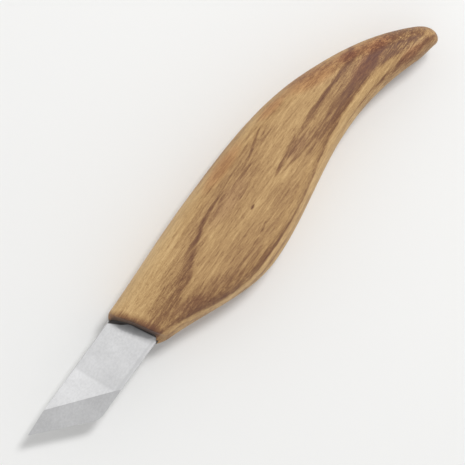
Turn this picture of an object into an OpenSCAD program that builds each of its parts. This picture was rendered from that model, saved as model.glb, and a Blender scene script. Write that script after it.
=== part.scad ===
// Skew carving knife: a bevelled steel blade with a hidden tang, bedded in epoxy in a wooden handle.
// The knife lies on its flat side. X runs from the tip to the tail, Y towards the back and Z up.
// The origin is on the surface that the knife lies on, under the middle of its outline.

/* [Blade] */
// Width of the steel strip
blade_w = 16; // [14:0.5:17]
// Thickness of the steel strip
blade_t = 2.5; // [2:0.1:3]
// Length of the blade from the handle to the tip
blade_len = 43.8; // [36:0.2:52]
// Depth of the tip under the line of the blade's back
tip_drop = 0.6; // [0.2:0.1:1]
// Angle between the cutting edge and the blade's back
skew = 42; // [36:1:50]
// Angle between each bevel and the blade's middle plane
bevel = 8.6; // [7:0.2:11]
// Radius of the heel, where the cutting edge meets the long side
heel_r = 6; // [3:0.5:8]
// Distance from the handle at which the blade starts to thin towards the tip
thin_from = 16; // [12:0.5:20]
// Angle at which each flat falls from there to the tip
thin_angle = 0.6; // [0.2:0.1:0.8]
// Width of the broken corners along the blade
corner_break = 0.25; // [0.1:0.05:0.4]

/* [Tang] */
// Depth to which the tang goes into the handle
tang_len = 64; // [48:1:76]
// Width of the tang behind its shoulders
tang_w = 9; // [7:0.5:11]
// Width of the tang at its end
tang_end_w = 6; // [4:0.5:7]
// Depth to which the full width of the strip is let into the handle
seat_len = 10; // [9:0.5:13]
// Radius of the half-round notches that key the epoxy
notch_r = 1.2; // [0.8:0.1:1.6]

/* [Handle] */
// Length of the handle along the blade's line, from the mouth to the end of the tail
handle_len = 133.8; // [122:0.2:145]
// Thickness between the flat sides
handle_t = 20; // [18:0.5:24]
// Thickness at the mouth
mouth_t = 16; // [14:0.5:17.5]
// Thickness of the tail before its rounded end
tail_t = 13.5; // [11:0.5:16]
// Height of the back over the line of the blade's back
back_rise = 2.7; // [2:0.1:4]
// Depth of the belly under that line
belly_drop = 31.3; // [28:0.1:33]
// Depth of the waist, the hollow behind the belly, under that line
waist_drop = 25.3; // [22:0.1:27]
// Depth of the tail's end under that line
tail_drop = 28.4; // [26:0.1:31]
// Width of the rounded edge as seen from the flat side
edge_round = 6.5; // [5:0.25:7.5]
// Round of the rim of the front end, measured on the thickness
front_round = 2.6; // [1.5:0.1:3]
// Depth of the hollow across the front end
front_hollow = 2.7; // [1:0.1:3]

/* [Epoxy] */
// Gap between the tang and the mortise on every side
glue_gap = 0.35; // [0.2:0.05:0.5]
// Height of the bead at the mouth over the blade's flat
bead_h = 0.55; // [0.3:0.05:0.8]
// Reach of the bead in front of the wood at the blade's back
bead_reach = 1.1; // [0.8:0.1:1.4]
// Reach of the bead in front of the wood at the blade's long side
bead_least = 0.5; // [0.4:0.1:0.8]

/* [Hidden] */
steel = [0.80, 0.80, 0.81];
ash_wood = [0.71, 0.57, 0.37];
dark_resin = [0.13, 0.11, 0.11];

// A cutter reaches this far past what it cuts.
past = 5;
// Half the thickness left at the ground edge, so that the bevels meet in a face and not in a line
edge_half = 0.03;
// Points along a rounded corner of an outline
corner_steps = 10;

// Stations along the handle, span by span between the knots below
span_steps = [6, 10, 12, 10, 6, 6];
// Steps on a quarter of a section's rounded edge, and across its flat
arc_steps = 7;
flat_steps = 5;
// Spans over which the mouth's hollow fades out, and those over which the thickness changes
hollow_fade = 1.25;
full_from = 1;
full_at = 1.6;
thin_tail_from = 3;
thin_tail_at = 4.2;
dome_from = 4.2;

// Knots of the handle's two edges from the mouth to the end of the tail: x, y and the edge's heading there
mouth_back = [-0.1, -0.1, 45];
mouth_belly = [2.95, -blade_w - 0.15, -46];
back_knots = [
    mouth_back,
    [2.8, 1.5, 0.5],
    [0.33 * handle_len, back_rise, -0.5],
    [0.7305 * handle_len, back_rise - 6.1, -20],
    [handle_len - 7, 9.1 - tail_drop, -41],
    [handle_len - 2.2, 4.6 - tail_drop, -48],
    [handle_len, -tail_drop, -88]
];
belly_knots = [
    mouth_belly,
    [7.5, -blade_w - 2.85, -18],
    [0.351 * handle_len, -belly_drop, 1],
    [0.701 * handle_len, -waist_drop, 1],
    [handle_len - 11.3, -tail_drop - 1.8, -19.5],
    [handle_len - 3.2, -tail_drop - 3.55, -13],
    [handle_len, -tail_drop, 92]
];
last = len(back_knots) - 1;

// 0 before the start, 1 past the end and a smooth rise between
function ease(value) = let (c = min(max(value, 0), 1)) c * c * (3 - 2 * c);
function aim(heading) = [cos(heading), sin(heading)];
// Angle from one heading to another, between -180 and 180
function turn(a, b) = (b - a + 540) % 360 - 180;

// Point on the cubic curve between two knots. Its pull makes an arc where both ends turn alike.
function on_span(a, b, t) =
    let (
        start = [a.x, a.y],
        end = [b.x, b.y],
        pull = norm(end - start) / (3 * pow(cos(turn(a.z, b.z) / 4), 2)),
        leave = start + pull * aim(a.z),
        arrive = end - pull * aim(b.z),
        u = 1 - t
    )
    u * u * u * start + 3 * u * u * t * leave + 3 * u * t * t * arrive + t * t * t * end;
function on_edge(knots, s) =
    let (i = min(floor(s), last - 1))
    on_span(knots[i], knots[i + 1], s - i);

// Half the handle's thickness at a station: rounded rim, swell, flat middle, thinner tail and domed end
function half_thickness(s) =
    let (
        rim = front_round * (1 - sin(90 * min(s, 1))),
        swell = (handle_t - mouth_t) / 2 * (1 - ease((s - full_from) / (full_at - full_from))),
        thinning = (handle_t - tail_t) / 2 * ease((s - thin_tail_from) / (thin_tail_at - thin_tail_from)),
        dome = cos(90 * max(0, (s - dome_from) / (last - dome_from)))
    )
    (handle_t / 2 - rim - swell - thinning) * dome;

// Most of a section's half-width that its rounded edge may take
round_share = 0.85;
// Outline of a section with half-width w and half-thickness h: flat above and below, with half-ellipse ends.
// It starts at the back's edge and goes over the upper side.
function section(w, h) =
    let (r = min(edge_round, round_share * w), flat = w - r)
    [
        for (i = [0 : arc_steps]) [flat + r * cos(90 * i / arc_steps), h * sin(90 * i / arc_steps)],
        for (i = [1 : flat_steps - 1]) [flat - 2 * flat * i / flat_steps, h],
        for (i = [arc_steps : 3 * arc_steps])
            [r * cos(90 * i / arc_steps) - flat, h * sin(90 * i / arc_steps)],
        for (i = [1 : flat_steps - 1]) [2 * flat * i / flat_steps - flat, -h],
        for (i = [3 * arc_steps : 4 * arc_steps - 1])
            [flat + r * cos(90 * i / arc_steps), h * sin(90 * i / arc_steps)]
    ];

// Share of the hollow's depth that is lost along its slant towards the back, and the powers of that slant
// and of the fall to nothing at the front's two corners
hollow_slant = 0.6;
slant_power = 1.5;
corner_power = 16;
// Share of the hollow's depth across the front end, from 1 at its back corner to -1 at its belly corner
function hollow(q) =
    let (slant = q > 0 ? hollow_slant : 0)
    1 - slant * pow(max(q, 0), slant_power) - (1 - slant) * pow(abs(q), corner_power);

// Section at a station, between the two edges, pushed in where the front end is hollow
function ring(s) =
    let (
        back = on_edge(back_knots, s),
        belly = on_edge(belly_knots, s),
        w = norm(back - belly) / 2,
        across = (back - belly) / (2 * w),
        inwards = [across.y, -across.x],
        depth = front_hollow * (1 - ease(s / hollow_fade))
    )
    [
        for (p = section(w, half_thickness(s)))
            let (at = (back + belly) / 2 + p.x * across + depth * hollow(p.x / w) * inwards)
            [at.x, at.y, p.y]
    ];

stations = [for (span = [0 : last - 1]) for (i = [0 : span_steps[span] - 1]) span + i / span_steps[span]];
rings = [for (s = stations) ring(s)];
tail_point = [handle_len, -tail_drop, 0];

// Triangles between neighbouring rings of count points each
function skin(ring_count, count) = [
    for (k = [0 : ring_count - 2])
        for (j = [0 : count - 1])
            let (a = k * count + j, b = k * count + (j + 1) % count)
            each [[a, a + count, b + count], [a, b + count, b]]
];

// Wooden blank before the mortise is cut
module handle_blank() {
    count = len(rings[0]);
    first_of_last = (len(rings) - 1) * count;
    tip = len(rings) * count;
    points = concat([for (r = rings) each r], [tail_point]);
    // The front is closed by strips between the upper and the lower half of the first ring.
    front = [
        [0, 1, count - 1],
        for (j = [1 : count / 2 - 2]) each [[j, j + 1, count - j - 1], [j, count - j - 1, count - j]],
        [count / 2 - 1, count / 2, count / 2 + 1]
    ];
    tail = [for (j = [0 : count - 1]) [first_of_last + j, tip, first_of_last + (j + 1) % count]];
    polyhedron(points, concat(front, skin(len(rings), count), tail));
}

// Outline with each corner [x, y, radius] rounded
function rounded(corners) = [
    for (i = [0 : len(corners) - 1])
        let (
            n = len(corners),
            here = corners[i],
            at = [here.x, here.y],
            before = corners[(i + n - 1) % n],
            after = corners[(i + 1) % n],
            towards = [before.x - here.x, before.y - here.y],
            onwards = [after.x - here.x, after.y - here.y],
            to_before = towards / norm(towards),
            to_after = onwards / norm(onwards),
            half = acos(to_before * to_after) / 2,
            bisector = (to_before + to_after) / norm(to_before + to_after),
            centre = at + bisector * here.z / sin(half),
            start = at + to_before * here.z / tan(half) - centre,
            side = sign(to_before.x * to_after.y - to_before.y * to_after.x),
            sweep = side * (2 * half - 180)
        )
        each (here.z == 0
            ? [at]
            : [for (k = [0 : corner_steps])
                let (a = sweep * k / corner_steps)
                centre + [start.x * cos(a) - start.y * sin(a), start.x * sin(a) + start.y * cos(a)]])
];

// Outline of the strip, from the tip round the heel and the tang, with the blade's back along y = 0.
// Over the length of tip_fall the back comes down to the tip.
tip_fall = 10;
heel_x = (blade_w - tip_drop) / tan(skew) - blade_len;
tang_middle = -blade_w / 2;
shoulder_r = 1.5;
tang_end_r = 1;
strip = rounded([
    [-blade_len, -tip_drop, 0],
    [heel_x, -blade_w, heel_r],
    [seat_len, -blade_w, 1],
    [seat_len, tang_middle - tang_w / 2, shoulder_r],
    [tang_len, tang_middle - tang_end_w / 2, tang_end_r],
    [tang_len, tang_middle + tang_end_w / 2, tang_end_r],
    [seat_len, tang_middle + tang_w / 2, shoulder_r],
    [seat_len, 0, 1],
    [tip_fall - blade_len, 0, 0]
]);
notch_places = [0.45, 0.72];

// Wedge above one bevel. Turned to the cutting edge, its lower face rises from the edge.
module bevel_cutter() {
    translate([-blade_len, -tip_drop, edge_half])
        rotate(-skew)
            rotate([bevel, 0, 0])
                translate([-past, -2 * blade_w, 0])
                    cube([3 * blade_w, 4 * blade_w, 4 * blade_t]);
}

// Wedge above the part of a flat that falls towards the tip
module thin_cutter() {
    translate([-thin_from, -blade_w - past, blade_t / 2])
        rotate([0, -thin_angle, 0])
            translate([-blade_len, 0, 0])
                cube([blade_len, blade_w + 2 * past, blade_t]);
}

// Block past the plane that breaks one long corner of the strip.
// The corner is at the origin, facing +Y and +Z.
module corner_cutter() {
    rotate([-45, 0, 0])
        translate([-blade_len - past, -past, -corner_break / sqrt(2)])
            cube([blade_len + seat_len + 2 * past, 2 * past, past]);
}

module strip_solid() {
    difference() {
        translate([0, 0, -blade_t / 2])
            linear_extrude(blade_t)
                polygon(strip);
        for (side = [0, 1])
            mirror([0, 0, side]) {
                bevel_cutter();
                thin_cutter();
                translate([0, 0, blade_t / 2])
                    corner_cutter();
                translate([0, -blade_w, blade_t / 2])
                    mirror([0, 1, 0])
                        corner_cutter();
            }
        for (place = notch_places, side = [-1, 1])
            let (half = (tang_w + (tang_end_w - tang_w) * place) / 2)
            translate([seat_len + (tang_len - seat_len) * place, tang_middle + side * half, 0])
                cylinder(r = notch_r, h = 2 * blade_t, center = true, $fn = 32);
    }
}

// Slot for the tang: a wide mouth for the full strip and a narrow bore behind it with rounded corners
module mortise() {
    slot_t = blade_t + 2 * glue_gap;
    bore_half = tang_w / 2 + glue_gap;
    bore_end = tang_len + 2 * glue_gap;
    bore_end_r = tang_end_r + glue_gap + (tang_w - tang_end_w) / 2;
    translate([0, 0, -slot_t / 2])
        linear_extrude(slot_t)
            polygon(rounded([
                [-past, glue_gap, 0],
                [-past, -blade_w - glue_gap, 0],
                [seat_len + glue_gap, -blade_w - glue_gap, 1],
                [seat_len + glue_gap, tang_middle - bore_half, 1],
                [bore_end, tang_middle - bore_half, bore_end_r],
                [bore_end, tang_middle + bore_half, bore_end_r],
                [seat_len + glue_gap, tang_middle + bore_half, 1],
                [seat_len + glue_gap, glue_gap, 1]
            ]));
}

// Bead of epoxy along the mouth: a bar with a rounded front, let a little into the wood
bead_in = 0.3;
bead_steps = 14;
bead_arc = 10;
// Ends of the bead on the mouth's line, just inside the blade's long sides, and where it reaches its least
bead_start = 0.95;
bead_end = -0.9;
bead_settles = 0.7;
mouth_middle = [mouth_back.x + mouth_belly.x, mouth_back.y + mouth_belly.y] / 2;
mouth_half = norm([mouth_back.x - mouth_belly.x, mouth_back.y - mouth_belly.y]) / 2;
mouth_across = [mouth_back.x - mouth_belly.x, mouth_back.y - mouth_belly.y] / (2 * mouth_half);
mouth_inwards = [mouth_across.y, -mouth_across.x];
// Place on the mouth's hollow line, from 1 at its back end to -1 at its belly end
function on_mouth(q) =
    mouth_middle + q * mouth_half * mouth_across + front_hollow * hollow(q) * mouth_inwards;
bead_rings = [
    for (k = [0 : bead_steps])
        let (
            share = k / bead_steps,
            at = on_mouth(bead_start + (bead_end - bead_start) * share),
            reach = bead_reach + (bead_least - bead_reach) * ease(share / bead_settles),
            h = blade_t / 2 + bead_h
        )
        [
            for (i = [0 : bead_arc])
                let (a = 90 + 180 * i / bead_arc)
                [at.x + reach * cos(a), at.y, h * sin(a)],
            [at.x + bead_in, at.y, -h],
            [at.x + bead_in, at.y, h]
        ]
];

module bead() {
    count = len(bead_rings[0]);
    last_ring = bead_steps * count;
    start_cap = [[for (j = [0 : count - 1]) j]];
    end_cap = [[for (j = [count - 1 : -1 : 0]) last_ring + j]];
    polyhedron([for (r = bead_rings) each r], concat(start_cap, skin(bead_steps + 1, count), end_cap));
}

// Moves a piece from the blade's own place to the knife's frame
outline_x = [-blade_len, max([for (r = rings) for (p = r) p.x])];
outline_y = [min([for (r = rings) for (p = r) p.y]), max([for (r = rings) for (p = r) p.y])];
to_frame = [-(outline_x[0] + outline_x[1]) / 2, -(outline_y[0] + outline_y[1]) / 2, handle_t / 2];

module blade() {
    color(steel)
        translate(to_frame)
            strip_solid();
}

module handle() {
    color(ash_wood)
        translate(to_frame)
            difference() {
                handle_blank();
                mortise();
                bead();
            }
}

module tang_epoxy() {
    color(dark_resin)
        translate(to_frame)
            difference() {
                union() {
                    intersection() {
                        handle_blank();
                        mortise();
                    }
                    bead();
                }
                strip_solid();
            }
}

blade();
handle();
tang_epoxy();
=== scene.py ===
"""Looks of the skew carving knife: a wooden handle with its growth figure, a ground steel blade and the
dark epoxy at the mouth with painted shade and a painted shadow about it, on a pale floor under soft light,
seen from straight above."""

import math

import bmesh
import bpy
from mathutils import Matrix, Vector, noise


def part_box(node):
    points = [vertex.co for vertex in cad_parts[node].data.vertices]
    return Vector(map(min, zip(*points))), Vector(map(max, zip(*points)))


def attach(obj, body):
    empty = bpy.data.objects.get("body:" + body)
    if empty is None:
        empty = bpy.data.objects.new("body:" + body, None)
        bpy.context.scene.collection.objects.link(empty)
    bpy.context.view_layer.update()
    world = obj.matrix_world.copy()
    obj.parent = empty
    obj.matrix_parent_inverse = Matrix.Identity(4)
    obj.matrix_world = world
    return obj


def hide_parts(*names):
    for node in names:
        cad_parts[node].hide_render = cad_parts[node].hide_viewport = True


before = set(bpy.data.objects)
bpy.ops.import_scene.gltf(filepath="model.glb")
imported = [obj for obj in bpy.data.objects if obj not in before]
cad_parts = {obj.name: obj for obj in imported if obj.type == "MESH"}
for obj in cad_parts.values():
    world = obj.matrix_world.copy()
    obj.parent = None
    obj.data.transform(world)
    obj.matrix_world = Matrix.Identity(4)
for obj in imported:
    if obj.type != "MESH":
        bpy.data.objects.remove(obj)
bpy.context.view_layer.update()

MM = 0.001

# Sizes of the knife in millimetres, as it is built
BLADE_LEN = 43.8
BLADE_W = 16.0
BLADE_T = 2.5
SKEW = 42.0
THIN_FROM = 16.0
TANG_LEN = 64.0
TANG_W = 9.0
TANG_END_W = 6.0
TANG_END_R = 1.0
SEAT_LEN = 10.0
GLUE_GAP = 0.35
HANDLE_LEN = 133.8
HANDLE_T = 20.0
MOUTH_T = 16.0
TAIL_T = 13.5
EDGE_ROUND = 6.5
ROUND_SHARE = 0.85
FRONT_ROUND = 2.6
FRONT_HOLLOW = 2.7
HOLLOW_FADE = 1.25
HOLLOW_SLANT = 0.6
SLANT_POWER = 1.5
CORNER_POWER = 16
SWELL_SPANS = (1.0, 1.6)
THIN_SPANS = (3.0, 4.2)
DOME_FROM = 4.2
TAIL_DROP = 28.4

# The blade's own place has the mouth at x = 0, the blade's back at y = 0 and its middle plane at z = 0.
blade_low, blade_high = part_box("blade")
middle_z = (blade_low.z + blade_high.z) / 2
TO_FRAME = Vector((blade_low.x / MM + BLADE_LEN, blade_high.y / MM, middle_z / MM))

# Knots of the handle's two edges from the mouth to the tail: x, y and the edge's heading there
BACK_KNOTS = [
    (-0.1, -0.1, 45.0),
    (2.8, 1.5, 0.5),
    (0.33 * HANDLE_LEN, 2.7, -0.5),
    (0.7305 * HANDLE_LEN, -3.4, -20.0),
    (HANDLE_LEN - 7.0, 9.1 - TAIL_DROP, -41.0),
    (HANDLE_LEN - 2.2, 4.6 - TAIL_DROP, -48.0),
    (HANDLE_LEN, -TAIL_DROP, -88.0),
]
BELLY_KNOTS = [
    (2.95, -BLADE_W - 0.15, -46.0),
    (7.5, -BLADE_W - 2.85, -18.0),
    (0.351 * HANDLE_LEN, -31.3, 1.0),
    (0.701 * HANDLE_LEN, -25.3, 1.0),
    (HANDLE_LEN - 11.3, -TAIL_DROP - 1.8, -19.5),
    (HANDLE_LEN - 3.2, -TAIL_DROP - 3.55, -13.0),
    (HANDLE_LEN, -TAIL_DROP, 92.0),
]
LAST = len(BACK_KNOTS) - 1
# Sections along each span of the skin, and points on a quarter of a section's round and across its flat
SPAN_STEPS = [28, 40, 48, 40, 20, 24]
ARC_STEPS = 20
FLAT_STEPS = 12
# Hand sanding leaves the skin this far under the built shape, and this much lower in its shallow dips.
SANDED_OFF = 0.03
DIP = 0.05
DIP_SIZE = 9.0
# The solid that cuts the mortise starts this far in front of the mouth. Its rounded corners have a point
# at every so many degrees.
CUT_FROM = 5.0
CORNER_STEP = 15
# Faces that meet at a larger angle than this keep a sharp edge.
SHARP_ANGLE = 40.0


def ease(value):
    c = min(max(value, 0.0), 1.0)
    return c * c * (3 - 2 * c)


def aim(heading):
    return Vector((math.cos(math.radians(heading)), math.sin(math.radians(heading))))


def on_edge(knots, s):
    """Point on an edge of the handle at station s, on the cubic curve between two knots."""
    i = min(int(s), LAST - 1)
    a, b, t = knots[i], knots[i + 1], s - i
    # The turn between the two headings lies between -180 and 180 degrees.
    turn = (b[2] - a[2] + 540) % 360 - 180
    start, end = Vector(a[:2]), Vector(b[:2])
    pull = (end - start).length / (3 * math.cos(math.radians(turn / 4)) ** 2)
    leave = start + pull * aim(a[2])
    arrive = end - pull * aim(b[2])
    u = 1 - t
    return u**3 * start + 3 * u * u * t * leave + 3 * u * t * t * arrive + t**3 * end


def share(s, spans):
    return ease((s - spans[0]) / (spans[1] - spans[0]))


def half_thickness(s):
    rim = FRONT_ROUND * (1 - math.sin(math.pi / 2 * min(s, 1)))
    swell = (HANDLE_T - MOUTH_T) / 2 * (1 - share(s, SWELL_SPANS))
    thinning = (HANDLE_T - TAIL_T) / 2 * share(s, THIN_SPANS)
    dome = math.cos(math.pi / 2 * max(0.0, (s - DOME_FROM) / (LAST - DOME_FROM)))
    return (HANDLE_T / 2 - rim - swell - thinning) * dome


def section(w, h):
    """Outline of a section from the back's edge over the upper side, with flats and half-ellipse ends."""
    r = min(EDGE_ROUND, ROUND_SHARE * w)
    flat = w - r
    quarter = [math.pi / 2 * i / ARC_STEPS for i in range(4 * ARC_STEPS)]
    points = [(flat + r * math.cos(a), h * math.sin(a)) for a in quarter[: ARC_STEPS + 1]]
    points += [(flat - 2 * flat * i / FLAT_STEPS, h) for i in range(1, FLAT_STEPS)]
    far_end = quarter[ARC_STEPS : 3 * ARC_STEPS + 1]
    points += [(r * math.cos(a) - flat, h * math.sin(a)) for a in far_end]
    points += [(2 * flat * i / FLAT_STEPS - flat, -h) for i in range(1, FLAT_STEPS)]
    points += [(flat + r * math.cos(a), h * math.sin(a)) for a in quarter[3 * ARC_STEPS :]]
    return points


def hollow(q):
    slant = HOLLOW_SLANT if q > 0 else 0.0
    return 1 - slant * max(q, 0.0) ** SLANT_POWER - (1 - slant) * abs(q) ** CORNER_POWER


def ring(s):
    """Points of the handle's section at station s, in the blade's own place."""
    back, belly = on_edge(BACK_KNOTS, s), on_edge(BELLY_KNOTS, s)
    w = (back - belly).length / 2
    across = (back - belly) / (2 * w)
    inwards = Vector((across.y, -across.x))
    depth = FRONT_HOLLOW * (1 - ease(s / HOLLOW_FADE))
    points = []
    for p, z in section(w, half_thickness(s)):
        at = (back + belly) / 2 + p * across + depth * hollow(p / w) * inwards
        points.append(Vector((at.x, at.y, z)))
    return points


def mesh_object(name, points, faces):
    """New object from points in the blade's own place."""
    mesh = bpy.data.meshes.new(name)
    mesh.from_pydata([(p + TO_FRAME) * MM for p in points], [], faces)
    piece = bpy.data.objects.new(name, mesh)
    bpy.context.scene.collection.objects.link(piece)
    return piece


def prism(name, outline, half_height):
    n = len(outline)
    points = [Vector((x, y, z)) for z in (-half_height, half_height) for x, y in outline]
    faces = [list(range(n))[::-1], list(range(n, 2 * n))]
    faces += [[i, (i + 1) % n, n + (i + 1) % n, n + i] for i in range(n)]
    return mesh_object(name, points, faces)


def mortise_outline():
    """Slot for the tang: a wide mouth for the full strip and a narrow bore with rounded corners."""
    bore = TANG_W / 2 + GLUE_GAP
    middle = -BLADE_W / 2
    seat = SEAT_LEN + GLUE_GAP
    r = TANG_END_R + GLUE_GAP + (TANG_W - TANG_END_W) / 2
    centre = TANG_LEN + 2 * GLUE_GAP - r
    arc = [math.radians(a) for a in range(0, 91, CORNER_STEP)]
    end = [(centre + r * math.sin(a), middle - bore + r - r * math.cos(a)) for a in arc]
    end += [(centre + r * math.cos(a), middle + bore - r + r * math.sin(a)) for a in arc]
    low, high = -BLADE_W - GLUE_GAP, GLUE_GAP
    front = [(-CUT_FROM, high), (-CUT_FROM, low), (seat, low), (seat, middle - bore)]
    return [*front, *end, (seat, middle + bore), (seat, high)]


def build_handle():
    """The handle's skin as a closed loft, sanded, with the mortise cut in it."""
    stations = [span + i / n for span, n in enumerate(SPAN_STEPS) for i in range(n)]
    rings = [ring(s) for s in stations]
    count = len(rings[0])
    points = [p for r in rings for p in r] + [Vector((HANDLE_LEN, -TAIL_DROP, 0))]
    tip = len(points) - 1
    first = (len(rings) - 1) * count
    faces = []
    for k in range(len(rings) - 1):
        for j in range(count):
            a, b = k * count + j, k * count + (j + 1) % count
            faces.append([a, a + count, b + count, b])
    half = count // 2
    faces.append([0, 1, count - 1])
    faces += [[j, j + 1, count - j - 1, count - j] for j in range(1, half - 1)]
    faces.append([half - 1, half, half + 1])
    faces += [[first + j, tip, first + (j + 1) % count] for j in range(count)]
    piece = mesh_object("handle_carved", points, faces)
    shape = bmesh.new()
    shape.from_mesh(piece.data)
    bmesh.ops.recalc_face_normals(shape, faces=shape.faces)
    shape.normal_update()
    for v in shape.verts:
        at = v.co / (DIP_SIZE * MM)
        v.co -= v.normal * MM * (SANDED_OFF + DIP * (0.5 + 0.5 * noise.noise(at)))
    # Flat facets give the mortise clean rims, without slivers.
    bmesh.ops.triangulate(shape, faces=shape.faces)
    shape.to_mesh(piece.data)
    shape.free()
    slot = prism("mortise_cutter", mortise_outline(), BLADE_T / 2 + GLUE_GAP)
    cut = piece.modifiers.new("mortise", "BOOLEAN")
    cut.operation = "DIFFERENCE"
    cut.solver = "EXACT"
    cut.object = slot
    bpy.context.view_layer.update()
    scene_now = bpy.context.evaluated_depsgraph_get()
    carved = bpy.data.meshes.new_from_object(piece.evaluated_get(scene_now))
    piece.modifiers.clear()
    piece.data = carved
    bpy.data.objects.remove(slot)
    carved.shade_smooth()
    carved.set_sharp_from_angle(angle=math.radians(SHARP_ANGLE))
    return piece


class Paint:
    """A material whose nodes are added one by one. Any input takes a number or another node's output."""

    # Sockets of the mixing node that hold colours
    MIX_A, MIX_B, MIXED = 6, 7, 2

    def __init__(self, name):
        self.material = bpy.data.materials.new(name)
        self.material.use_nodes = True
        self.tree = self.material.node_tree
        self.shader = self.tree.nodes["Principled BSDF"]

    def put(self, socket, value):
        if isinstance(value, bpy.types.NodeSocket):
            self.tree.links.new(value, socket)
        else:
            socket.default_value = value

    def look(self, **values):
        for name, value in values.items():
            self.put(self.shader.inputs[name.replace("_", " ")], value)

    def math(self, operation, *values):
        node = self.tree.nodes.new("ShaderNodeMath")
        node.operation = operation
        for socket, value in zip(node.inputs, values):
            self.put(socket, value)
        return node.outputs[0]

    def add(self, a, b):
        return self.math("ADD", a, b)

    def times(self, a, b):
        return self.math("MULTIPLY", a, b)

    def minus(self, a, b):
        return self.math("SUBTRACT", a, b)

    def centred(self, noise_value):
        """Noise between 0 and 1, moved to lie about 0."""
        return self.minus(noise_value, 0.5)

    def total(self, *shares):
        """Sum of values, each times its share."""
        amount = 0.0
        for value, part in shares:
            amount = self.add(amount, self.times(value, part))
        return amount

    def step(self, value, low, high, start=0.0, end=1.0):
        """Smooth change from start to end as the value goes from low to high."""
        node = self.tree.nodes.new("ShaderNodeMapRange")
        node.interpolation_type = "SMOOTHSTEP"
        names = ("Value", "From Min", "From Max", "To Min", "To Max")
        for name, given in zip(names, (value, low, high, start, end)):
            self.put(node.inputs[name], given)
        return node.outputs[0]

    def place(self):
        """Position in the blade's own place, in millimetres."""
        where = self.tree.nodes.new("ShaderNodeTexCoord").outputs["Object"]
        return self.mapped(where, scale=(1 / MM,) * 3, location=-TO_FRAME)

    def mapped(self, vector, scale=(1, 1, 1), location=(0, 0, 0), turn=0.0):
        node = self.tree.nodes.new("ShaderNodeMapping")
        self.put(node.inputs["Vector"], vector)
        node.inputs["Scale"].default_value = scale
        node.inputs["Location"].default_value = location
        node.inputs["Rotation"].default_value = (0, 0, math.radians(turn))
        return node.outputs[0]

    def parts(self, vector):
        node = self.tree.nodes.new("ShaderNodeSeparateXYZ")
        self.put(node.inputs[0], vector)
        return node.outputs

    def joined(self, x, y, z):
        node = self.tree.nodes.new("ShaderNodeCombineXYZ")
        for socket, value in zip(node.inputs, (x, y, z)):
            self.put(socket, value)
        return node.outputs[0]

    def noise(self, vector, cell, detail=2.0, rough=0.5):
        """Noise between 0 and 1 with cells of the given size along each axis."""
        node = self.tree.nodes.new("ShaderNodeTexNoise")
        self.put(node.inputs["Vector"], self.mapped(vector, scale=[1 / c for c in cell]))
        node.inputs["Scale"].default_value = 1.0
        node.inputs["Detail"].default_value = detail
        node.inputs["Roughness"].default_value = rough
        return node.outputs[0]

    def curve(self, along, points, low, high):
        """Value read off a smooth curve through points of (place along the figure, value)."""
        node = self.tree.nodes.new("ShaderNodeFloatCurve")
        self.put(node.inputs["Value"], along)
        line = node.mapping.curves[0].points
        at = [((x - FIGURE_FROM) / FIGURE_LEN, (v - low) / (high - low)) for x, v in points]
        line[0].location = (0.0, at[0][1])
        line[1].location = (1.0, at[-1][1])
        for x, v in at:
            line.new(x, v)
        node.mapping.update()
        return self.add(self.times(node.outputs[0], high - low), low)

    def ramp(self, value, stops):
        node = self.tree.nodes.new("ShaderNodeValToRGB")
        self.put(node.inputs[0], value)
        line = node.color_ramp.elements
        line[0].position, line[0].color = stops[0][0], (*stops[0][1], 1)
        line[1].position, line[1].color = stops[-1][0], (*stops[-1][1], 1)
        for position, colour in stops[1:-1]:
            line.new(position).color = (*colour, 1)
        return node.outputs[0]

    def mix(self, factor, a, b, blend="MIX"):
        """Colour a with as much of colour b as the factor says."""
        node = self.tree.nodes.new("ShaderNodeMix")
        node.data_type = "RGBA"
        node.blend_type = blend
        self.put(node.inputs["Factor"], factor)
        self.put(node.inputs[self.MIX_A], a)
        self.put(node.inputs[self.MIX_B], b)
        return node.outputs[self.MIXED]

    def bump(self, height, depth, strength):
        """Fine relief of the surface, with its depth in millimetres."""
        node = self.tree.nodes.new("ShaderNodeBump")
        node.inputs["Strength"].default_value = strength
        node.inputs["Distance"].default_value = depth * MM
        self.put(node.inputs["Height"], height)
        return node.outputs[0]


# Figure of the wood on the upper side. The curves run over this length of the handle.
FIGURE_FROM, FIGURE_TO = -10.0, 170.0
FIGURE_LEN = FIGURE_TO - FIGURE_FROM
# Under the surface the figure moves on along the handle and towards the back, by this much at the lower
# side. It moves slowly at first and faster deeper down.
LEAN_ALONG, LEAN_BACK = 26.0, 4.0
LEAN_POWER = 4.0
# Limits of the curves: y of a line's edge, a line's width, its darkness, and a tone's darkness
Y_LIMITS = (-40.0, 10.0)
WIDTH_LIMITS = (0.0, 16.0)
DARK_LIMITS = (0.0, 1.2)
TONE_LIMITS = (0.0, 1.0)
# Across a growth line its core and its haze fade between these shares of its width. A line is at least this
# wide.
CORE_FADE = (0.1, 0.6)
HAZE_FADE = (0.2, 1.3)
LEAST_WIDTH = 0.2
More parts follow.
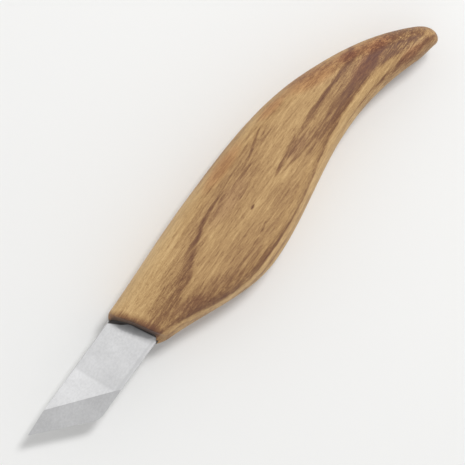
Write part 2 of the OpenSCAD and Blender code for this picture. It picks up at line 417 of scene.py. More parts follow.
# Growth lines: the side on which the dark wood lies, how soft the edge is as a share of the width, the
# share of the darkness that is close to the edge, then points of x, y of the edge, width and darkness
UPPER_LINE = (
    1, 0.1, 0.5,
    [
        (2, -13.5, 6.0, 0.45), (8, -13.5, 7.4, 0.6), (14, -13.8, 8.6, 0.7), (20, -14.0, 9.0, 0.78),
        (25, -13.1, 8.6, 0.78), (29, -11.7, 8.0, 0.88), (33, -9.9, 6.4, 1.0), (36, -8.6, 5.0, 1.2),
        (41, -7.1, 3.6, 1.1), (48, -5.7, 2.6, 0.75), (53, -5.1, 2.2, 0.45), (58, -4.8, 1.8, 0.25),
        (66, -4.5, 1.6, 0.1), (80, -4.5, 1.3, 0.0),
    ],
)
LOWER_LINE = (
    1, 0.1, 0.35,
    [
        (3, -14.8, 1.0, 0.3), (8, -16.0, 2.2, 0.55), (13, -18.0, 3.8, 0.7), (18, -20.3, 5.0, 0.82),
        (23, -22.9, 5.6, 0.86), (28, -25.3, 5.6, 0.86), (33, -27.2, 5.0, 0.82), (38, -28.3, 4.0, 0.78),
        (44, -28.8, 2.8, 0.9), (50, -28.7, 2.1, 0.95), (56, -28.3, 1.8, 0.9), (62, -27.6, 1.5, 0.65),
        (70, -26.1, 1.3, 0.55), (78, -24.3, 1.5, 0.5), (85, -22.9, 2.8, 0.5), (90, -22.0, 4.4, 0.7),
        (96, -21.3, 5.4, 0.95), (104, -20.9, 5.4, 1.05), (110, -20.6, 4.4, 1.1), (116, -20.1, 3.6, 1.0),
        (121, -19.5, 2.8, 0.6), (127, -19.0, 1.5, 0.0),
    ],
)
OTHER_LINES = [
    # Haze of dark wood over the lower line in the tail
    (1, 0.06, 0.0, [
        (74, -25.0, 3.0, 0.0), (82, -23.2, 7.0, 0.2), (90, -22.0, 8.0, 0.5), (100, -21.4, 7.4, 0.6),
        (110, -21.2, 8.0, 0.65), (118, -20.0, 7.0, 0.4), (127, -19.0, 5.0, 0.0),
    ]),
    # Rim of the belly and the tail's hollow side
    (-1, 0.3, 0.6, [
        (8, -17.7, 0.8, 0.3), (18, -21.9, 0.8, 0.35), (28, -26.5, 0.9, 0.45), (38, -29.4, 0.9, 0.55),
        (47, -30.0, 0.9, 0.55), (62, -28.7, 0.9, 0.4), (78, -25.8, 0.8, 0.3), (87, -24.3, 0.7, 0.3),
        (92, -23.8, 0.8, 0.45), (97, -23.6, 0.9, 0.55), (102, -23.6, 1.0, 0.65), (106, -23.7, 1.1, 0.75),
        (110, -24.2, 1.3, 0.65), (114, -24.8, 1.4, 0.25), (117, -25.2, 1.4, 0.0),
    ]),
    (-1, 0.16, 0.25, [
        (106, -23.8, 1.6, 0.0), (110, -24.3, 2.2, 0.3), (114, -24.8, 2.8, 0.7), (118, -25.3, 3.2, 0.8),
        (122, -26.3, 3.6, 0.85), (126, -27.4, 3.4, 0.8), (130, -28.6, 2.6, 0.85), (134, -29.7, 2.0, 0.5),
    ]),
    # Inner flame, its upper and its lower branch
    (-1, 0.25, 0.5, [
        (63, -15.8, 0.8, 0.0), (68, -15.0, 1.4, 0.4), (73, -14.0, 1.6, 0.6), (78, -13.2, 1.8, 0.7),
        (83, -12.8, 1.6, 0.6), (88, -12.6, 1.8, 0.75), (95, -12.5, 2.0, 0.9), (102, -12.6, 2.4, 0.9),
        (107, -12.4, 3.0, 0.95), (111, -11.5, 3.6, 1.0), (116, -10.0, 2.0, 0.25), (121, -8.0, 1.2, 0.0),
    ]),
    (1, 0.25, 0.5, [
        (65, -16.2, 0.8, 0.0), (72, -17.2, 1.4, 0.5), (77, -18.0, 1.6, 0.65), (82, -18.3, 1.5, 0.55),
        (87, -18.2, 1.2, 0.3), (92, -17.9, 1.0, 0.0),
    ]),
    # Thin lines behind the upper line
    (1, 0.25, 0.6, [
        (47, -6.4, 0.8, 0.0), (52, -6.7, 1.2, 0.4), (58, -6.9, 1.3, 0.5), (63, -7.1, 1.4, 0.6),
        (67, -6.9, 1.3, 0.6), (71, -6.5, 1.2, 0.55), (77, -6.2, 1.0, 0.45), (83, -6.5, 0.8, 0.0),
    ]),
    (1, 0.3, 0.6, [
        (44, -11.0, 0.8, 0.0), (49, -11.4, 0.9, 0.4), (55, -11.1, 0.9, 0.45), (61, -10.6, 0.9, 0.35),
        (67, -9.6, 0.8, 0.0),
    ]),
    # Mauve band behind the upper line
    (1, 0.08, 0.0, [
        (42, -9.5, 3.0, 0.0), (46, -10.8, 4.5, 0.12), (50, -11.0, 5.0, 0.18), (56, -10.8, 5.0, 0.18),
        (61, -10.4, 4.6, 0.15), (67, -9.6, 3.0, 0.1), (73, -9.0, 2.0, 0.0),
    ]),
    # Brown end of the tail over its light band
    (1, 0.08, 0.0, [
        (104, -20.6, 6.0, 0.0), (110, -21.5, 8.0, 0.3), (114, -21.9, 9.0, 0.46), (118, -23.2, 9.5, 0.58),
        (122, -24.6, 10.0, 0.74), (126, -25.7, 11.0, 0.82), (130, -26.7, 12.0, 0.74),
        (134, -27.6, 12.0, 0.5),
    ]),
]
# Light wood ends at this line towards the belly and the tail's hollow side.
LIGHT_EDGE = [
    (3, -14.8), (8, -16.3), (18, -20.7), (28, -25.4), (38, -28.4), (47, -28.9), (62, -27.7), (78, -24.2),
    (90, -21.8), (100, -21.0), (108, -21.3), (114, -21.9), (118, -23.3), (122, -24.7), (126, -25.8),
    (130, -26.8), (134, -27.7),
]
# Tone of the wood inside the flame, on its back's side and past the light edge: x and darkness
FLAME_TONE = [
    (4, 0.24), (12, 0.24), (20, 0.26), (28, 0.24), (36, 0.2), (45, 0.18), (55, 0.2), (64, 0.2), (72, 0.1),
    (80, 0.1), (90, 0.12), (105, 0.14), (118, 0.2), (133, 0.2),
]
BACK_TONE = [
    (4, 0.04), (20, 0.0), (32, 0.04), (45, 0.08), (60, 0.25), (68, 0.2), (76, 0.1), (84, 0.14), (98, 0.2),
    (108, 0.24), (118, 0.25), (133, 0.2),
]
RIM_TONE = [
    (4, 0.1), (20, 0.04), (60, 0.02), (92, 0.02), (104, 0.05), (114, 0.13), (124, 0.24), (133, 0.28),
]
# These tones change over into each other between two distances from the line or the edge.
BACK_FADE = (-0.4, 0.6)
RIM_FADE = (-0.3, 0.3)
# The back's side is lighter on the rounding, a painted highlight: between two depths under the upper side,
# by this much, and up to where the change ends along the handle
ROUND_FADE = (0.2, 3.0)
ROUND_HIGHLIGHT = -0.08
ROUND_ENDS = (50.0, 75.0)
# Short dark strokes: middle, length, width, slope and darkness
STROKES = [
    (47.6, -22.7, 4.4, 1.0, 0.0, 0.6),
    (51.4, -22.3, 4.0, 0.9, 0.05, 0.5),
    (55.5, -15.4, 2.6, 1.1, 0.1, 1.0),
    (64.0, -21.5, 9.0, 0.9, 0.03, 0.25),
    (81.0, -19.7, 7.0, 1.2, 0.06, 0.35),
    (73.5, -14.4, 7.0, 0.9, 0.06, 0.4),
    (78.5, -14.4, 7.0, 1.0, 0.04, 0.5),
    (76.0, -15.3, 9.0, 1.0, 0.02, 0.5),
    (82.5, -15.2, 8.0, 1.0, 0.0, 0.4),
    (79.0, -16.1, 8.0, 1.0, -0.02, 0.5),
    (84.5, -16.5, 9.0, 1.2, 0.0, 0.35),
    (75.5, -17.2, 7.0, 1.0, -0.04, 0.5),
    (80.5, -17.3, 7.0, 0.9, -0.02, 0.4),
    (84.0, -13.9, 7.0, 0.9, 0.02, 0.4),
    (79.0, -15.8, 11.0, 5.2, 0.0, 0.42),
    (97.0, -13.6, 18.0, 1.5, 0.01, 0.4),
    (60.0, -1.0, 13.0, 3.4, 0.0, 0.2),
    (46.5, -7.1, 12.0, 2.4, 0.02, 0.42),
    (52.0, -6.1, 6.0, 1.1, 0.02, 0.5),
    (52.0, -2.0, 7.0, 1.4, 0.02, 0.35),
    (63.5, -4.7, 11.0, 2.4, 0.02, 0.3),
    (64.0, -7.0, 7.0, 1.5, 0.02, 0.3),
    (70.0, -15.2, 8.0, 1.6, 0.05, 0.55),
    (88.0, -14.0, 9.0, 1.7, 0.0, 0.2),
    (88.0, -18.8, 9.0, 1.5, 0.0, 0.4),
    (74.5, -3.4, 7.0, 0.8, 0.22, 0.4),
    (77.0, -4.6, 6.0, 0.7, 0.1, 0.35),
    (84.0, -3.7, 9.0, 0.8, -0.12, 0.4),
    (68.0, -3.0, 6.0, 0.8, 0.1, 0.35),
    (72.0, -1.6, 6.0, 0.7, 0.05, 0.3),
    (111.0, -11.4, 6.0, 3.0, -0.5, 0.5),
    # Broader patches, and some fine strokes among them
    (52.0, -20.0, 52.0, 10.0, 0.03, 0.18),
    (42.0, -20.0, 20.0, 8.0, 0.0, 0.14),
    (35.0, -22.8, 18.0, 6.0, -0.3, 0.25),
    (21.0, -17.8, 12.0, 4.0, -0.35, 0.4),
    (16.0, -15.8, 9.0, 1.4, -0.12, 0.4),
    (30.0, -20.5, 24.0, 7.0, -0.4, 0.28),
    (30.0, -9.2, 10.0, 4.0, 0.4, 0.4),
    (37.0, -9.4, 13.0, 3.6, 0.4, 0.25),
    (44.5, -24.2, 12.0, 5.4, 0.0, 0.38),
    (62.5, -19.0, 8.0, 5.0, 0.0, 0.2),
    (12.0, -5.0, 16.0, 6.0, 0.0, 0.1),
    (22.0, -7.6, 22.0, 5.0, 0.12, 0.2),
    (99.0, -5.4, 22.0, 4.8, -0.42, 0.4),
    (84.0, -2.4, 16.0, 4.0, -0.18, 0.18),
    (87.0, -14.8, 16.0, 2.8, 0.0, 0.15),
    (83.0, -18.8, 18.0, 3.8, 0.02, 0.3),
    (108.0, -11.6, 12.0, 3.4, -0.3, 0.25),
    (66.0, -2.5, 14.0, 4.0, 0.0, 0.1),
    (42.0, -2.6, 24.0, 4.8, 0.1, 0.26),
    (110.0, -18.8, 22.0, 2.4, 0.06, 0.45),
    (4.8, -3.2, 3.6, 5.0, 0.0, 0.35),
    (100.0, -8.4, 18.0, 5.0, -0.36, 0.24),
    (78.5, -20.6, 10.0, 3.0, 0.05, 0.28),
    (74.0, -18.3, 9.0, 1.8, 0.02, 0.28),
    (64.0, -6.2, 9.0, 1.2, 0.16, 0.45),
    (71.0, -4.5, 12.0, 1.1, 0.28, 0.45),
    (84.0, -4.0, 11.0, 3.2, -0.1, 0.2),
    (78.5, -6.3, 8.0, 2.2, 0.0, 0.22),
    (100.0, -18.9, 20.0, 2.2, 0.02, 0.42),
    (104.0, -24.9, 14.0, 1.7, -0.05, 0.32),
    (106.5, -13.9, 12.0, 2.4, 0.0, 0.3),
    (70.0, -21.6, 15.0, 4.4, 0.03, 0.2),
]
# Patches where all the wood is deeper in colour, or lighter: middle, length, width, slope and the darkness
# that is added
DEEPER = [
    (108.0, -18.4, 32.0, 3.6, 0.04, 0.2),
    (117.0, -18.0, 10.0, 3.4, 0.0, 0.12),
    (110.5, -11.6, 9.0, 3.4, -0.4, 0.1),
    (122.0, -21.0, 9.0, 4.4, -0.4, 0.12),
    (130.0, -29.3, 7.0, 2.0, -0.2, 0.12),
    (48.5, -7.5, 11.0, 3.4, 0.0, 0.1),
    (57.5, -8.2, 13.0, 3.2, 0.0, 0.11),
    (40.0, -6.5, 8.0, 2.0, 0.2, 0.16),
    (43.2, -7.3, 5.0, 2.2, 0.1, 0.16),
    (41.5, -3.0, 9.0, 2.6, 0.0, -0.1),
    (56.5, -3.8, 8.0, 3.4, 0.0, 0.12),
    (66.0, -4.4, 10.0, 2.4, 0.1, -0.12),
    (59.0, -8.8, 12.0, 2.4, 0.0, -0.09),
    (54.0, -12.2, 10.0, 2.0, 0.0, -0.08),
    (36.5, -7.3, 6.0, 1.8, 0.2, -0.1),
    (35.0, -9.9, 7.0, 2.4, 0.2, 0.08),
    (20.0, -18.0, 9.0, 3.4, -0.3, 0.05),
    (22.0, -10.0, 9.0, 3.0, 0.1, 0.09),
    (97.5, -13.0, 12.0, 1.8, 0.0, 0.16),
    (77.0, -14.8, 8.0, 2.4, 0.0, 0.07),
    (65.5, -20.0, 7.0, 2.2, 0.0, -0.12),
    (56.0, -21.6, 11.0, 2.6, 0.0, -0.09),
    (74.5, -8.7, 6.0, 3.0, 0.0, -0.08),
    (68.5, -8.8, 6.0, 2.4, 0.0, 0.08),
    (75.5, -2.2, 6.0, 2.4, -0.2, 0.1),
    (78.0, -23.4, 6.0, 2.6, 0.2, 0.08),
    (95.5, -14.6, 7.0, 1.8, 0.0, 0.1),
    (15.5, -18.2, 6.0, 2.2, -0.3, -0.09),
    (13.5, -15.9, 7.0, 1.6, -0.2, 0.1),
    (90.0, -20.1, 8.0, 3.0, 0.0, -0.1),
    (113.0, -16.4, 9.0, 2.4, 0.0, -0.22),
    (114.0, -14.3, 8.0, 2.2, -0.2, 0.22),
    (105.0, -13.6, 8.0, 2.6, 0.0, 0.1),
    (116.5, -25.0, 9.0, 2.4, -0.2, -0.22),
    (126.0, -28.0, 9.0, 2.6, -0.2, -0.08),
    (117.0, -21.9, 8.0, 2.2, -0.2, 0.2),
    (128.0, -25.9, 6.0, 2.0, -0.3, 0.2),
    (126.3, -22.8, 5.0, 2.4, -0.5, -0.2),
    (121.2, -18.8, 4.4, 2.4, -0.5, -0.2),
    (121.2, -22.2, 4.0, 2.0, -0.4, -0.1),
]
# Crossed sanding scratches at the tail's end: the patch, their two headings, the size of their noise and
# their depth in the tone. The fibres show this much stronger in the patch.
SCRATCHED = (123.0, -21.5, 22.0, 13.0, -0.5)
SCRATCH_HEADINGS = (38.0, -52.0)
SCRATCH_CELL = (3.0, 0.32, 3.0)
SCRATCH_TONE = 0.45
RAISED_FIBRES = 1.2
# Patches of a warmer, a cooler and a purple colour: middle, length, width and slope
WARM_PATCHES = [
    (60.0, -0.5, 24.0, 6.0, 0.0), (84.0, -2.2, 14.0, 4.0, -0.15),
    (99.0, -6.8, 23.0, 9.0, -0.4), (117.0, -15.0, 24.0, 6.0, -0.6),
]
COOL_PATCHES = [
    (53.0, -8.4, 26.0, 7.0, 0.0), (79.0, -15.8, 14.0, 5.0, 0.0), (20.0, -18.0, 16.0, 5.0, -0.4),
    (123.0, -27.4, 22.0, 5.0, -0.25),
]
PURPLE_PATCHES = [
    (114.0, -18.0, 26.0, 6.0, 0.0), (110.5, -12.0, 8.0, 4.8, -0.3), (123.5, -27.3, 12.0, 4.0, -0.2),
]
# Noise in the wood: the size of its cells along, across and through the grain, and its strength.
# Slow bends and fraying move every line, by so many millimetres.
BEND_CELL, BEND = (30, 9, 9), 1.2
FRAY_CELL, FRAY = (4, 0.4, 0.4), 1.0
# Streaks are made up of broad ones, fibres and specks in these shares.
BROAD_CELL, BROAD_SHARE = (16, 1.0, 1.0), 0.42
FIBRE_CELL, FIBRE_SHARE = (3.2, 0.34, 0.34), 0.3
SPECK_CELL, SPECK_SHARE = (0.45, 0.3, 0.3), 0.28
STREAK = 2.2
CLOUD_CELL, CLOUD = (40, 6, 6), 0.45
# Pores are short dark dashes where their noise is above this span.
PORE_CELL, PORE = (2.2, 0.26, 0.26), 0.28
PORE_SPAN = (0.58, 0.72)
# The streaks and a noise of bands make the lines fainter and stronger: the noise from and to, then the
# strength from and to
LINE_STREAKS = (0.36, 0.64, 0.8, 1.1)
BAND_CELL = (20, 1.2, 1.2)
LINE_BANDS = (0.36, 0.62, 0.82, 1.12)
# Share of the fine detail in the rougher kinds of noise
ROUGH = 0.6
# Roughness of the wood: the streaks from and to, then the roughness from and to. The relief is made of the
# streaks, at this height against the pores' depth of 1, with its depth in millimetres and its strength.
WOOD_ROUGHNESS = (0.25, 0.75, 0.62, 0.48)
WOOD_GLOSS = 0.3
STREAK_HEIGHT = 0.4
WOOD_RELIEF = (0.03, 0.6)
# The mouth's line slants back from the blade's back and then runs on almost straight across: where each of
# the two would meet the blade's back, and how far it goes back per mm.
MOUTH_SLANT = (0.75, 0.53)
MOUTH_ACROSS = (2.85, 0.165)
# Behind it the front end is darker: painted shade of its rounding, which faces away from the lamp, and
# partly a real stain of glue-soaked end grain. The distance from and to, then the darkness from and to. The
# painted shade and stain are fainter at the belly's corner, up to this far inside the blade's edge.
SHADE_AND_STAIN = (0.9, 4.2, 0.7, 0.0)
SHADE_AND_STAIN_CORNER = 2.0
CORNER_SHARE = 0.3
# Over the front end's rounding lies a near-black band with a ragged end: painted shade of the rounding next
# to the mouth, partly epoxy smeared there. The distance from and to, then the strength from and to, and the
# distances from the blade's two edges over which it ends. The colour serves the steel's black line as well.
SHADE_AND_SMEAR_COLOUR = (0.03, 0.022, 0.02, 1)
RAGGED_CELL, RAGGED = (1.5, 1.5, 1.5), 1.6
WOOD_SHADE_AND_SMEAR = (0.4, 2.0, 0.68, 0.0)
WOOD_SHADE_AND_SMEAR_ENDS = ((0.8, 1.8), (-0.5, 0.1))
# On the steel a black line lies in front of the mouth: painted shade of the gap where the blade goes into
# the handle, partly epoxy smeared there. It is wide at the back and narrow past the slant, and it changes
# its width between two places across the blade.
SHADE_SMEAR_WIDE, SHADE_SMEAR_NARROW = 1.45, 0.7
SHADE_SMEAR_TURN = (-6.5, -3.5)
STEEL_SHADE_AND_SMEAR = (-0.3, 0.15, 0.88, 0.0)
STEEL_SHADE_AND_SMEAR_ENDS = ((0.8, 1.4), (-0.3, 0.0))
# A painted shadow of the handle's front end darkens the steel in front of the mouth, from a bowed and wavy
# line
# on: where it starts at the blade's back, how far it has gone back after a distance from there, per square
# mm, and the size and strength of its waves.
SHADOW_FROM = -0.04
SHADOW_BOW = 0.018
WAVE_CELL, WAVE = (1.6, 1.6, 1.6), 1.0
SHADOW_EDGE = (-0.4, 0.4)
SHADOW_STRENGTH = (0.0, 2.6, 0.42, 0.78)
SHADOW_ENDS = ((1.1, 2.1), (-3.6, -1.6))
SHADOW_AT_BACK = 0.35
PAINTED_SHADOW_COLOUR = (0.185, 0.19, 0.2, 1)
# The thin end of the blade is polished from a slanted line on: how far it goes towards the tip per mm
# across, and the length of its fade
POLISH_SLANT = 0.07
POLISH_FADE = 1.35
# A dull strip runs this far inside the belly's edge, with soft sides. A dull patch lies beside the line.
DULL_STRIP = 1.0
STRIP_FADE = (0.1, 0.7)
DULL_PATCH = (-13.5, -12.0, 11.0, 10.0, 0.0)
# Faces are bevel or flat by the upright share of their direction.
BEVEL_FACING = (0.991, 0.998)
# Noise in the steel: grinding lines across the flats and along the bevel, clouds and mottle
FLAT_LINES_CELL = (0.12, 9, 3)
EDGE_LINES_CELL = (0.1, 8, 3)
STEEL_CLOUD_CELL = (7, 7, 3)
MOTTLE_CELL = (0.8, 0.6, 0.8)
# The shine is half grinding lines and half clouds. What each thing adds to the steel's grey:
LINES_SHARE = 0.5
SHINE_GREY = 0.14
POLISH_GREY = 0.09
BEVEL_GREY = -0.13
STRIP_GREY = -0.075
PATCH_GREY = -0.032
MOTTLE_GREY = 0.14
STEEL_COLOURS = [(0.0, (0.66, 0.66, 0.665)), (0.24, (0.96, 0.96, 0.965))]
# The shine from and to, then the roughness from and to, and the depth and strength of the grinding lines
STEEL_ROUGHNESS = (0.3, 0.7, 0.5, 0.58)
STEEL_RELIEF = (0.004, 0.5)
# Epoxy: the size of its noise, its colours and its roughness by that noise
EPOXY_CELL = (1.2, 0.8, 0.8)
EPOXY_COLOURS = [(0.3, (0.016, 0.013, 0.012)), (0.75, (0.05, 0.038, 0.03))]
EPOXY_ROUGHNESS = (0.3, 0.7, 0.28, 0.5)
FLOOR_COLOUR = (0.86, 0.86, 0.85, 1)
FLOOR_ROUGHNESS = 0.9
# Colours of the wood from the lightest to the darkest: darkness and colour
WOOD_COLOURS = [
    (0.0, (0.61, 0.41, 0.195)),
    (0.15, (0.52, 0.332, 0.147)),
    (0.42, (0.395, 0.235, 0.101)),
    (0.72, (0.243, 0.124, 0.055)),
    (1.0, (0.17, 0.076, 0.038)),
    (1.4, (0.115, 0.046, 0.027)),
]
DARKEST = WOOD_COLOURS[-1][0]
# Darkness of the plain light wood
LIGHT_WOOD = 0.14
# Shares of red, green and blue that are left in the middle of a warm, a cool and a purple patch
WARM_TINT = (1.0, 0.87, 0.84, 1)
COOL_TINT = (0.96, 0.94, 1.0, 1)
PURPLE_TINT = (1.0, 0.9, 0.93, 1)


def growth_line(paint, along, y, line):
    """Darkness of one growth line, and how far on its dark side a place lies."""
    side, soft, near, points = line
    edge = paint.curve(along, [(p[0], p[1]) for p in points], *Y_LIMITS)
    width = paint.curve(along, [(p[0], p[2]) for p in points], *WIDTH_LIMITS)
    dark = paint.curve(along, [(p[0], p[3]) for p in points], *DARK_LIMITS)
    depth = paint.times(paint.minus(y, edge), float(side))
    ratio = paint.math("DIVIDE", depth, paint.math("MAXIMUM", width, LEAST_WIDTH))
    rise = paint.step(ratio, -soft, soft)
    core = paint.step(ratio, *CORE_FADE, near, 0.0)
    haze = paint.step(ratio, *HAZE_FADE, 1 - near, 0.0)
    return paint.times(dark, paint.times(rise, paint.add(core, haze))), depth


def patch(paint, x, y, middle_x, middle_y, length, width, slope):
    """1 in the middle of a long soft patch and 0 outside it."""
    far = paint.minus(x, middle_x)
    off = paint.minus(paint.minus(y, middle_y), paint.times(far, slope))
    far = paint.math("POWER", paint.times(far, 2 / length), 2.0)
    off = paint.math("POWER", paint.times(off, 2 / width), 2.0)
    return paint.step(paint.add(far, off), 0.0, 1.0, 1.0, 0.0)


def darker(paint, a, b):
    """Both darknesses laid over each other."""
    return paint.minus(paint.add(a, b), paint.times(a, b))


def behind_mouth(paint, x, y):
    """Distance along the blade behind the mouth's line."""
    both = (MOUTH_SLANT, MOUTH_ACROSS)
    slant, across = [paint.add(paint.times(y, -per_mm), start) for start, per_mm in both]
    return paint.minus(x, paint.math("MINIMUM", slant, across))


def between_edges(paint, y, ends, at_back=0.0):
    """1 between the blade's long edges, falling to 0 on the belly's side and to at_back at the back."""
    from_belly, from_back = ends
    inside = paint.step(y, from_belly[0] - BLADE_W, from_belly[1] - BLADE_W)
    return paint.times(inside, paint.step(y, *from_back, 1.0, at_back))


def broad_tone(paint, along, x, y, under, over_upper):
    """Darkness of the wood between the growth lines."""
    on_back = paint.step(over_upper, *BACK_FADE)
    past_edge = paint.minus(y, paint.curve(along, LIGHT_EDGE, *Y_LIMITS))
    on_rim = paint.step(past_edge, *RIM_FADE, 1.0, 0.0)
    tones = (FLAME_TONE, BACK_TONE, RIM_TONE)
    flame, back, rim = [paint.curve(along, tone, *TONE_LIMITS) for tone in tones]
    # Painted highlight on the back's rounding
    rounding = paint.step(under, *ROUND_FADE, 0.0, ROUND_HIGHLIGHT)
    back = paint.add(back, paint.times(rounding, paint.step(x, *ROUND_ENDS, 1.0, 0.0)))
    tone = paint.add(flame, paint.times(on_back, paint.minus(back, flame)))
    return paint.add(tone, paint.times(on_rim, paint.minus(rim, tone)))


def wood():
    paint = Paint("carved_ash")
    here = paint.place()
    x, y, z = paint.parts(here)
    under = paint.minus(HANDLE_T / 2, z)
    lean = paint.math("POWER", paint.times(under, 1 / HANDLE_T), LEAN_POWER)
    figure_x = paint.add(x, paint.times(lean, LEAN_ALONG))
    figure_y = paint.add(y, paint.times(lean, LEAN_BACK))
    along = paint.math("DIVIDE", paint.minus(figure_x, FIGURE_FROM), FIGURE_LEN)
    bend = paint.times(paint.centred(paint.noise(here, BEND_CELL)), BEND)
    fray = paint.times(paint.centred(paint.noise(here, FRAY_CELL, 3, ROUGH)), FRAY)
    grain = paint.joined(x, paint.add(y, bend), z)
    bent_y = paint.add(figure_y, paint.add(bend, fray))
    lines, over_upper = growth_line(paint, along, bent_y, UPPER_LINE)
    for line in (LOWER_LINE, *OTHER_LINES):
        lines = darker(paint, lines, growth_line(paint, along, bent_y, line)[0])
    for *given, darkness in STROKES:
        stroke = patch(paint, figure_x, bent_y, *given)
        lines = darker(paint, lines, paint.times(stroke, darkness))
    tone = broad_tone(paint, along, x, bent_y, under, over_upper)
    # Streaks of the fibres, clouds and pores
    fibre = paint.noise(grain, FIBRE_CELL, 2, ROUGH)
    broad = paint.noise(grain, BROAD_CELL, 3, ROUGH)
    speck = paint.noise(grain, SPECK_CELL, 2, ROUGH)
    streak = paint.total((broad, BROAD_SHARE), (fibre, FIBRE_SHARE), (speck, SPECK_SHARE))
    cloud = paint.noise(grain, CLOUD_CELL, 3)
    pore = paint.step(paint.noise(grain, PORE_CELL), *PORE_SPAN)
    lines = paint.times(lines, paint.step(streak, *LINE_STREAKS))
    lines = paint.times(lines, paint.step(paint.noise(grain, BAND_CELL, 1), *LINE_BANDS))
    dark = darker(paint, paint.add(tone, LIGHT_WOOD), lines)
    dark = paint.add(dark, paint.times(paint.centred(streak), STREAK))
    dark = paint.add(dark, paint.times(paint.centred(cloud), CLOUD))
    dark = paint.add(dark, paint.times(pore, PORE))
    for *given, added in DEEPER:
        dark = paint.add(dark, paint.times(patch(paint, figure_x, bent_y, *given), added))
    # Sanded end of the tail
    sanding = paint.times(paint.centred(fibre), RAISED_FIBRES)
    for heading in SCRATCH_HEADINGS:
        scratch = paint.noise(paint.mapped(here, turn=-heading), SCRATCH_CELL, 2, ROUGH)
        sanding = paint.add(sanding, paint.times(paint.centred(scratch), SCRATCH_TONE))
    dark = paint.add(dark, paint.times(patch(paint, x, y, *SCRATCHED), sanding))
    # Darker front end behind the mouth: painted shade of its rounding, partly a real glue stain
    behind = behind_mouth(paint, x, y)
    corner = paint.step(y, -BLADE_W, -BLADE_W + SHADE_AND_STAIN_CORNER, CORNER_SHARE, 1.0)
    dark = paint.add(dark, paint.times(paint.step(behind, *SHADE_AND_STAIN), corner))
    stops = [(darkness / DARKEST, colour) for darkness, colour in WOOD_COLOURS]
    colour = paint.ramp(paint.times(dark, 1 / DARKEST), stops)
    tints = ((WARM_PATCHES, WARM_TINT), (COOL_PATCHES, COOL_TINT), (PURPLE_PATCHES, PURPLE_TINT))
    for patches, tint in tints:
        amount = 0.0
        for given in patches:
            amount = paint.add(amount, patch(paint, figure_x, bent_y, *given))
        colour = paint.mix(paint.math("MINIMUM", amount, 1.0), colour, tint, "MULTIPLY")
    # Near-black band over the front end's rounding between the blade's edges: painted shade, partly smeared
    # epoxy
    ragged = paint.times(paint.centred(paint.noise(here, RAGGED_CELL, 3)), RAGGED)
    smear = paint.step(paint.add(behind, ragged), *WOOD_SHADE_AND_SMEAR)
    smear = paint.times(smear, between_edges(paint, y, WOOD_SHADE_AND_SMEAR_ENDS))
    colour = paint.mix(smear, colour, SHADE_AND_SMEAR_COLOUR)
    paint.look(Base_Color=colour, Specular_IOR_Level=WOOD_GLOSS)
    paint.look(Roughness=paint.step(streak, *WOOD_ROUGHNESS))
    height = paint.minus(paint.times(streak, STREAK_HEIGHT), pore)
    paint.look(Normal=paint.bump(height, *WOOD_RELIEF))
    return paint.material


def steel():
    paint = Paint("ground_steel")
    here = paint.place()
    x, y, _ = paint.parts(here)
    facing = paint.tree.nodes.new("ShaderNodeNewGeometry").outputs["True Normal"]
    upright = paint.math("ABSOLUTE", paint.parts(facing)[2])
    on_bevel = paint.step(upright, *BEVEL_FACING, 1.0, 0.0)
    on_flat = paint.minus(1.0, on_bevel)
    slanted_x = paint.add(x, paint.times(paint.add(y, BLADE_W), POLISH_SLANT))
    on_thin = paint.step(slanted_x, -THIN_FROM - POLISH_FADE, -THIN_FROM, 1.0, 0.0)
    flat_lines = paint.noise(here, FLAT_LINES_CELL, 3, ROUGH)
    edge_lines = paint.noise(paint.mapped(here, turn=SKEW), EDGE_LINES_CELL, 3, ROUGH)
    lines = paint.add(paint.times(edge_lines, on_bevel), paint.times(flat_lines, on_flat))
    cloud = paint.noise(here, STEEL_CLOUD_CELL, 3)
    shine = paint.total((lines, LINES_SHARE), (cloud, 1 - LINES_SHARE))
    strip = paint.math("ABSOLUTE", paint.add(y, BLADE_W - DULL_STRIP))
    strip = paint.times(paint.step(strip, *STRIP_FADE, 1.0, 0.0), on_flat)
    dull = patch(paint, x, y, *DULL_PATCH)
    mottle = paint.centred(paint.noise(here, MOTTLE_CELL))
    grey = paint.total(
        (shine, SHINE_GREY), (on_thin, POLISH_GREY), (on_bevel, BEVEL_GREY),
        (strip, STRIP_GREY), (dull, PATCH_GREY), (mottle, MOTTLE_GREY),
    )
    colour = paint.ramp(grey, STEEL_COLOURS)
    # Painted shadow of the handle's front end on the steel in front of the mouth
    wave = paint.times(paint.centred(paint.noise(here, WAVE_CELL)), WAVE)
    painted_shadow_line = paint.add(paint.times(paint.math("POWER", y, 2.0), SHADOW_BOW), SHADOW_FROM)
    past_painted_shadow = paint.add(paint.minus(x, painted_shadow_line), wave)
    painted_shadow = paint.times(paint.step(past_painted_shadow, *SHADOW_EDGE), paint.step(past_painted_shadow, *SHADOW_STRENGTH))
    painted_shadow = paint.times(painted_shadow, between_edges(paint, y, SHADOW_ENDS, SHADOW_AT_BACK))
    colour = paint.mix(painted_shadow, colour, PAINTED_SHADOW_COLOUR)
    # Black line along the mouth: painted shade of the gap there, partly smeared epoxy
    ahead = paint.times(behind_mouth(paint, x, y), -1.0)
    shade_smear_width = paint.step(y, *SHADE_SMEAR_TURN, SHADE_SMEAR_NARROW, SHADE_SMEAR_WIDE)
    smear = paint.step(paint.minus(ahead, shade_smear_width), *STEEL_SHADE_AND_SMEAR)
    smear = paint.times(smear, between_edges(paint, y, STEEL_SHADE_AND_SMEAR_ENDS))
    colour = paint.mix(smear, colour, SHADE_AND_SMEAR_COLOUR)
    paint.look(Base_Color=colour, Metallic=1.0)
    paint.look(Roughness=paint.step(shine, *STEEL_ROUGHNESS))
    paint.look(Normal=paint.bump(lines, *STEEL_RELIEF))
    return paint.material


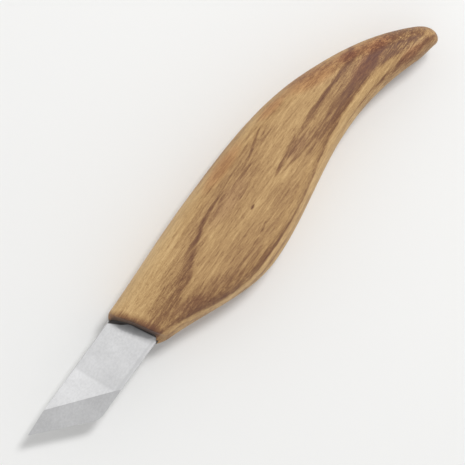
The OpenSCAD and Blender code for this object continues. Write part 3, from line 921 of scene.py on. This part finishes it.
def epoxy():
    paint = Paint("wiped_epoxy")
    smear = paint.noise(paint.place(), EPOXY_CELL, 3, ROUGH)
    paint.look(Base_Color=paint.ramp(smear, EPOXY_COLOURS))
    paint.look(Roughness=paint.step(smear, *EPOXY_ROUGHNESS))
    return paint.material


def floor_paint():
    paint = Paint("pale_floor")
    paint.look(Base_Color=FLOOR_COLOUR, Roughness=FLOOR_ROUGHNESS)
    return paint.material


def paint_piece(piece, material):
    piece.data.materials.clear()
    piece.data.materials.append(material)


handle = build_handle()
paint_piece(handle, wood())
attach(handle, "root")
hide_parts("handle")
paint_piece(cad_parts["blade"], steel())
paint_piece(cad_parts["tang_epoxy"], epoxy())

# The floor that the knife lies on
FLOOR_HALF = 4.0
FLOOR_DROP = 0.00005
floor_mesh = bpy.data.meshes.new("floor")
corners = [(-1, -1), (1, -1), (1, 1), (-1, 1)]
floor_points = [(FLOOR_HALF * a, FLOOR_HALF * b, -FLOOR_DROP) for a, b in corners]
floor_mesh.from_pydata(floor_points, [], [[0, 1, 2, 3]])
floor = bpy.data.objects.new("floor", floor_mesh)
bpy.context.scene.collection.objects.link(floor)
paint_piece(floor, floor_paint())

# The camera looks straight down, with the knife at an angle across the picture. Lengths are in metres, and
# in millimetres for the lens.
VIEW_WIDTH = 0.1458
VIEW_CENTRE = (TO_FRAME + Vector((45.4475, -15.1273, 0))) * MM
VIEW_TURN = math.radians(-54)
CAMERA_HEIGHT = 0.8
SENSOR_WIDTH = 36.0
lens = bpy.data.cameras.new("camera")
lens.sensor_width = SENSOR_WIDTH
lens.lens = SENSOR_WIDTH * CAMERA_HEIGHT / VIEW_WIDTH
camera = bpy.data.objects.new("camera", lens)
camera.location = VIEW_CENTRE + Vector((0, 0, CAMERA_HEIGHT))
camera.rotation_euler = (0, 0, VIEW_TURN)
bpy.context.scene.collection.objects.link(camera)
bpy.context.scene.camera = camera

# A square lamp faces the knife. Its place is given by the picture's directions and its height, in metres.
PICTURE_UP = Vector((-math.sin(VIEW_TURN), math.cos(VIEW_TURN), 0))
PICTURE_RIGHT = Vector((math.cos(VIEW_TURN), math.sin(VIEW_TURN), 0))
LAMP_UP, LAMP_RIGHT, LAMP_HEIGHT = 0.53, 0.39, 1.1
LAMP_SIZE = 0.28
LAMP_POWER = 8.4
light = bpy.data.lights.new("key", "AREA")
light.size = LAMP_SIZE
light.energy = LAMP_POWER
lamp = bpy.data.objects.new("key", light)
lamp.location = LAMP_UP * PICTURE_UP + LAMP_RIGHT * PICTURE_RIGHT + Vector((0, 0, LAMP_HEIGHT))
lamp.rotation_euler = (-lamp.location).to_track_quat("-Z", "Y").to_euler()
bpy.context.scene.collection.objects.link(lamp)

world = bpy.data.worlds.new("studio")
world.use_nodes = True
bpy.context.scene.world = world
studio = world.node_tree
fill = studio.nodes["Background"]
fill.inputs["Color"].default_value = (1, 1, 1, 1)
# The tent round the table is brighter at its sides than overhead.
TENT_SIDE, TENT_TOP = 1.0, 0.42
towards = studio.nodes.new("ShaderNodeTexCoord")
height = studio.nodes.new("ShaderNodeSeparateXYZ")
studio.links.new(towards.outputs["Generated"], height.inputs[0])
tent = studio.nodes.new("ShaderNodeMapRange")
tent.inputs["To Min"].default_value = TENT_SIDE
tent.inputs["To Max"].default_value = TENT_TOP
studio.links.new(height.outputs["Z"], tent.inputs["Value"])
studio.links.new(tent.outputs[0], fill.inputs["Strength"])

bpy.context.scene.view_settings.view_transform = "Standard"
